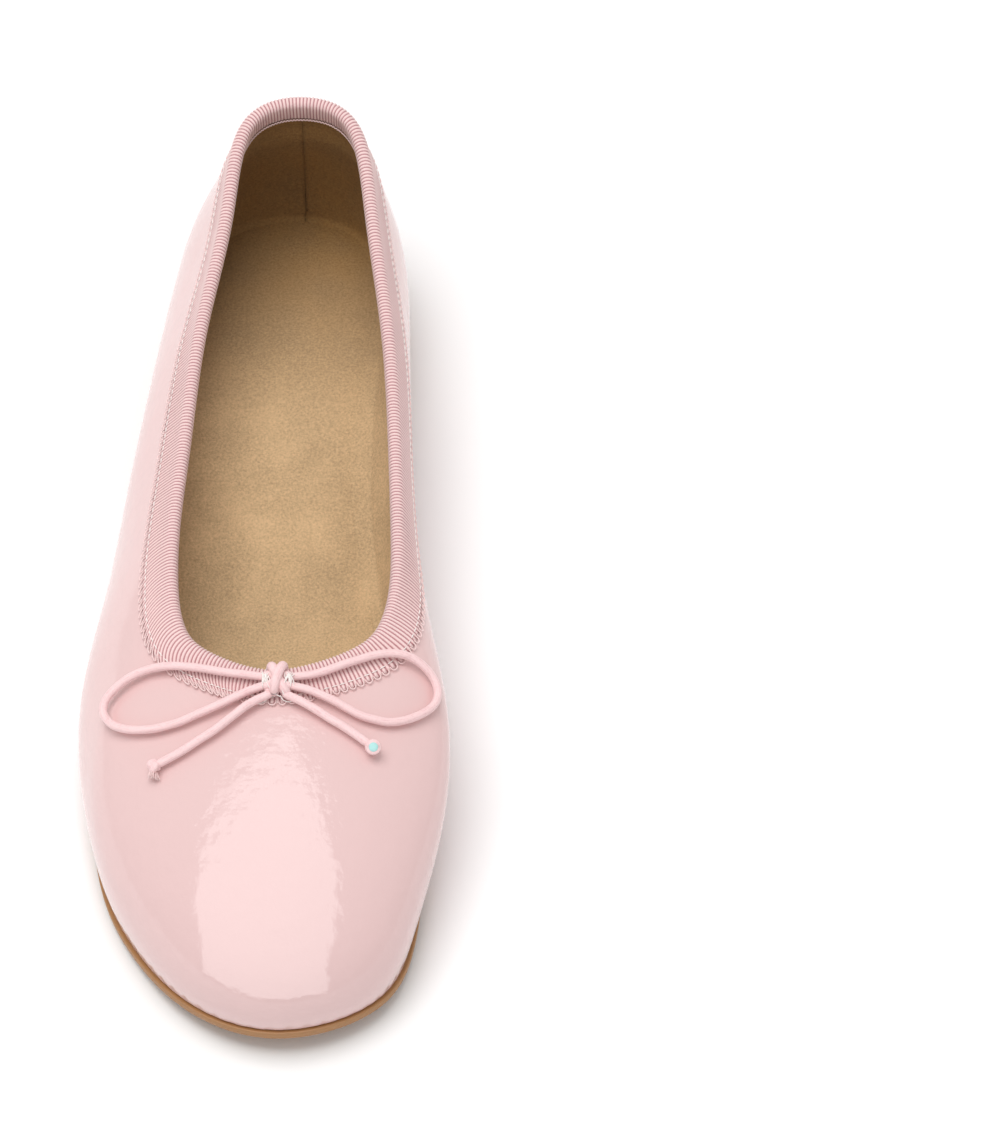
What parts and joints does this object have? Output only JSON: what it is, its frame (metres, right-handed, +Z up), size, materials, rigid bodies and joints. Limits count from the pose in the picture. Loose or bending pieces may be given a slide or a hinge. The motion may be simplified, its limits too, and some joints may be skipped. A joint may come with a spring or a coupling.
{
  "type": "ballet slipper",
  "caption": "Low cemented ballet slipper with a glossy whole-cut upper, ribbon-bound elastic topline, round toe, low heel and a corded bow at the throat.",
  "frame": {"origin": "on the floor, under the middle of the slipper's bounding box", "axes": "+Z up, toe towards -Y, heel towards +Y, the outer (lateral) side of the foot towards -X"},
  "size_m": [0.0889, 0.2422, 0.0632],
  "materials": {
    "patent": "high-gloss pale pink patent leather",
    "ribbon": "matt grosgrain ribbon, dusty pink with darker grooves",
    "cord": "smooth tubular satin cord, pale pink",
    "suede": "tan suede with a soft mottled nap",
    "sole_leather": "satin reddish-brown sole with a waxed edge",
    "heel_rubber": "matt brown rubber",
    "board": "matt cellulose fibre board",
    "cork": "matt cork paste",
    "foam": "matt soft foam sheet",
    "steel": "plain steel strip",
    "fibre": "matt stiffened non-woven",
    "thread": "fine off-white thread",
    "elastic": "covered round elastic"
  },
  "bodies": {
    "shoe": {"outsole": "sole_leather", "heel_lift": "sole_leather", "heel_top_piece": "heel_rubber", "shank": "steel", "bottom_filler": "cork", "insole_board": "board", "sock_foam": "foam", "sock": "suede", "upper": "patent", "heel_counter": "fibre", "quarter_backer_lateral": "board", "toe_puff": "fibre", "quarter_backer_medial": "board", "quarter_lining_lateral": "suede", "vamp_lining": "suede", "quarter_lining_medial": "suede", "topline_ribbon": "ribbon", "topline_elastic": "elastic", "bow_knot": "cord", "tack_stitch_lateral": "thread", "tack_stitch_medial": "thread"},
    "lateral_loop": {"bow_loop_lateral": "cord"},
    "medial_loop": {"bow_loop_medial": "cord"},
    "lateral_tail": {"bow_tail_lateral": "cord", "tail_knot_lateral": "cord"},
    "medial_tail": {"bow_tail_medial": "cord", "tail_knot_medial": "cord"}
  },
  "joints": [
    {"name": "lateral_loop_lift", "type": "hinge", "parent": "shoe", "child": "lateral_loop", "pos_m": [0.0011, -0.0468, 0.0454], "axis": [0, 1, 0], "range_deg": [0, 50]},
    {"name": "medial_loop_lift", "type": "hinge", "parent": "shoe", "child": "medial_loop", "pos_m": [0.0082, -0.0468, 0.0454], "axis": [0, -1, 0], "range_deg": [0, 50]},
    {"name": "lateral_tail_lift", "type": "hinge", "parent": "shoe", "child": "lateral_tail", "pos_m": [0.0014, -0.0508, 0.0447], "axis": [-0.5, 0.866, 0], "range_deg": [0, 50]},
    {"name": "medial_tail_lift", "type": "hinge", "parent": "shoe", "child": "medial_tail", "pos_m": [0.0079, -0.0508, 0.0447], "axis": [-0.5, -0.866, 0], "range_deg": [0, 50]}
  ]
}
